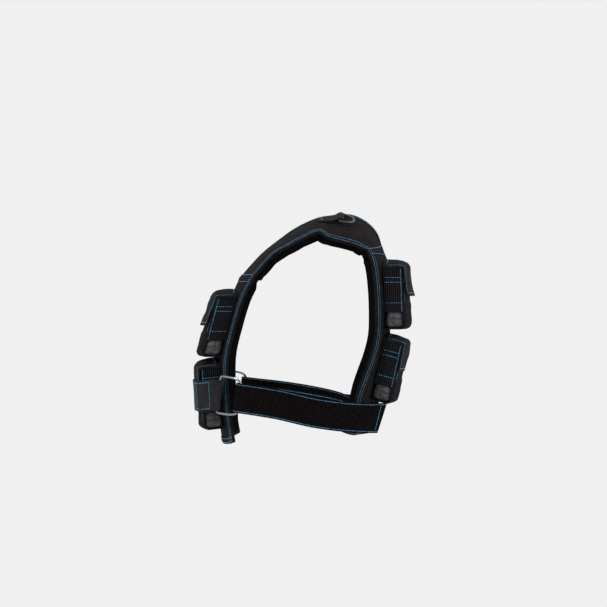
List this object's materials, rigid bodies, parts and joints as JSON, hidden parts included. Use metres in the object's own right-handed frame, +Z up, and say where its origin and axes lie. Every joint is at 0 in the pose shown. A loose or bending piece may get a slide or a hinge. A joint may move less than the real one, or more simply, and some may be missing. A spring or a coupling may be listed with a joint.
{
  "type": "weighted vest",
  "caption": "Padded training vest with rows of flapped weight pouches on chest and back, held by a ring belt.",
  "frame": {"origin": "between the shoulders, at the height where the straps sit on them, midway between the sides", "axes": "+X the wearer's left, -Y the chest, +Z up"},
  "size_m": [0.3624, 0.382, 0.3943],
  "materials": {
    "shell_cloth": "padded neoprene-backed knit, matt, blue seams",
    "lining_mesh": "black spacer mesh, matt",
    "pouch_cloth": "ribbed elastic and woven polyester, matt",
    "flap_cloth": "woven polyester, matt, blue seams",
    "bag_nylon": "coated nylon, slight sheen, creased",
    "webbing": "polyester webbing, matt",
    "loop_tape": "loop pile of hook-and-loop tape, black",
    "bright_steel": "nickel-plated steel wire, polished",
    "black_steel": "black-coated steel wire, satin"
  },
  "bodies": {
    "root": {"front_panel": "shell_cloth", "back_panel": "shell_cloth", "front_lining": "lining_mesh", "back_lining": "lining_mesh", "shoulder_strap_left": "shell_cloth", "shoulder_lining_left": "lining_mesh", "shoulder_strap_right": "shell_cloth", "shoulder_lining_right": "lining_mesh", "pouch_front_upper_left": "pouch_cloth", "weight_bag_front_upper_left": "bag_nylon", "flap_front_upper_left": "flap_cloth", "pouch_front_upper_middle": "pouch_cloth", "weight_bag_front_upper_middle": "bag_nylon", "flap_front_upper_middle": "flap_cloth", "pouch_front_upper_right": "pouch_cloth", "weight_bag_front_upper_right": "bag_nylon", "flap_front_upper_right": "flap_cloth", "pouch_front_lower_left": "pouch_cloth", "weight_bag_front_lower_left": "bag_nylon", "flap_front_lower_left": "flap_cloth", "pouch_front_lower_middle": "pouch_cloth", "weight_bag_front_lower_middle": "bag_nylon", "flap_front_lower_middle": "flap_cloth", "pouch_front_lower_right": "pouch_cloth", "weight_bag_front_lower_right": "bag_nylon", "flap_front_lower_right": "flap_cloth", "pouch_back_upper_left": "pouch_cloth", "weight_bag_back_upper_left": "bag_nylon", "flap_back_upper_left": "flap_cloth", "pouch_back_upper_middle": "pouch_cloth", "weight_bag_back_upper_middle": "bag_nylon", "flap_back_upper_middle": "flap_cloth", "pouch_back_upper_right": "pouch_cloth", "weight_bag_back_upper_right": "bag_nylon", "flap_back_upper_right": "flap_cloth", "pouch_back_lower_left": "pouch_cloth", "weight_bag_back_lower_left": "bag_nylon", "flap_back_lower_left": "flap_cloth", "pouch_back_lower_middle": "pouch_cloth", "weight_bag_back_lower_middle": "bag_nylon", "flap_back_lower_middle": "flap_cloth", "pouch_back_lower_right": "pouch_cloth", "weight_bag_back_lower_right": "bag_nylon", "flap_back_lower_right": "flap_cloth", "front_belt": "webbing", "belt_ring_left": "bright_steel", "side_belt_left": "loop_tape", "ring_tab_left": "webbing", "shoulder_ring_left": "black_steel", "belt_ring_right": "bright_steel", "side_belt_right": "loop_tape", "ring_tab_right": "webbing", "shoulder_ring_right": "black_steel"}
  },
  "joints": []
}
